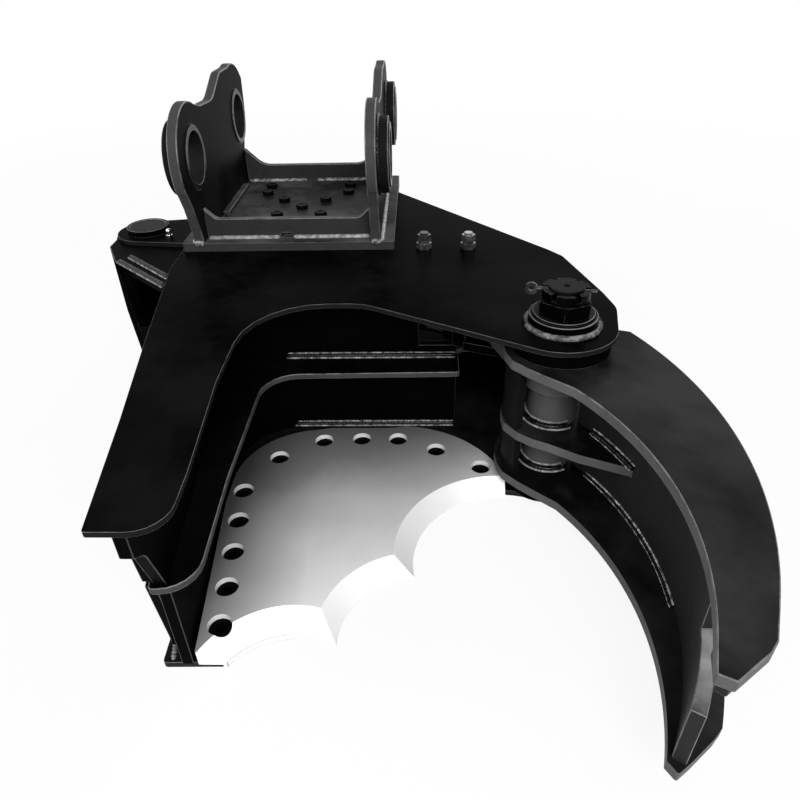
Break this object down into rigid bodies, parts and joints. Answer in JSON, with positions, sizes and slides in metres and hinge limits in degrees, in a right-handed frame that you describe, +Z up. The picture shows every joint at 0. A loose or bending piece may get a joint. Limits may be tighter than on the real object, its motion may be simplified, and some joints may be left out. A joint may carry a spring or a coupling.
{
  "type": "excavator tree shear",
  "caption": "Hydraulic tree shear with a pin-on bracket, a welded C frame with a scalloped blade, and a swinging hooked jaw.",
  "frame": {"origin": "middle of the front bracket bore, halfway between the ears", "axes": "+X right along the bracket bores, +Y to the rear away from the blade, +Z up out of the bracket"},
  "size_m": [0.7733, 1.0162, 0.4469],
  "materials": {
    "black_paint": "gloss black enamel",
    "ground_steel": "milled and ground blade steel",
    "black_oxide": "black oxide",
    "zinc_steel": "zinc plated, thinly overpainted",
    "bright_nipple": "bright plated",
    "bronze": "plain bearing bronze",
    "chrome_rod": "hard chrome",
    "dark_steel": "hardened steel"
  },
  "bodies": {
    "frame": {"base_plate": "black_paint", "ear_left": "black_paint", "ear_right": "black_paint", "front_bosses": "black_paint", "rear_bosses": "black_paint", "ear_bushes": "dark_steel", "front_cross_plate": "black_paint", "rear_cross_plate": "black_paint", "foot_rails": "black_paint", "bracket_bolts": "zinc_steel", "deck_plate": "black_paint", "hose_fittings": "black_oxide", "lug_doubler": "black_paint", "side_guard": "black_paint", "mid_plate": "black_paint", "upper_wall": "black_paint", "lower_wall": "black_paint", "outer_wall_upper": "black_paint", "outer_wall_lower": "black_paint", "rear_wall": "black_paint", "closing_wall": "black_paint", "deck_ribs": "black_paint", "bottom_plate": "black_paint", "blade": "ground_steel", "blade_bolts": "black_oxide", "pivot_ring": "black_paint", "upper_collar": "black_paint", "lower_collar": "black_paint", "pivot_pin": "black_paint", "pivot_washer": "black_paint", "pivot_nut": "black_paint", "split_pin": "zinc_steel", "cylinder_base_pin": "black_paint", "pin_keeper": "black_paint", "grease_nipple": "bright_nipple"},
    "jaw": {"jaw_upper_plate": "black_paint", "jaw_mid_plate": "black_paint", "jaw_lower_plate": "black_paint", "jaw_web": "black_paint", "jaw_outer_wall": "black_paint", "jaw_hub_tube": "black_paint", "jaw_hub_wrap": "black_paint", "jaw_lever": "black_paint", "jaw_tip_block": "black_paint", "jaw_bushes": "bronze"},
    "barrel": {"cylinder_base_eye": "black_paint", "cylinder_barrel": "black_paint", "cylinder_gland": "black_paint", "cylinder_ports": "black_paint"},
    "rod": {"cylinder_rod": "chrome_rod", "cylinder_piston": "dark_steel", "rod_fork": "black_paint", "fork_pin": "dark_steel"}
  },
  "joints": [
    {"name": "jaw_close", "type": "hinge", "parent": "frame", "child": "jaw", "pos_m": [0.3525, -0.2595, -0.192], "axis": [0, 0, -1], "range_deg": [0, 64]},
    {"name": "cylinder_swing", "type": "hinge", "parent": "frame", "child": "barrel", "pos_m": [-0.234, 0.058, -0.192], "axis": [0, 0, 1], "range_deg": [0, 1.8]},
    {"name": "rod_slide", "type": "slide", "parent": "barrel", "child": "rod", "axis": [0.9307, -0.3659, 0], "range_m": [0, 0.105]}
  ],
  "couplings": [
    {"joint": "cylinder_swing", "follows": "jaw_close", "ratio": 0.0269},
    {"joint": "rod_slide", "follows": "jaw_close", "m_per_rad": 0.09302}
  ]
}
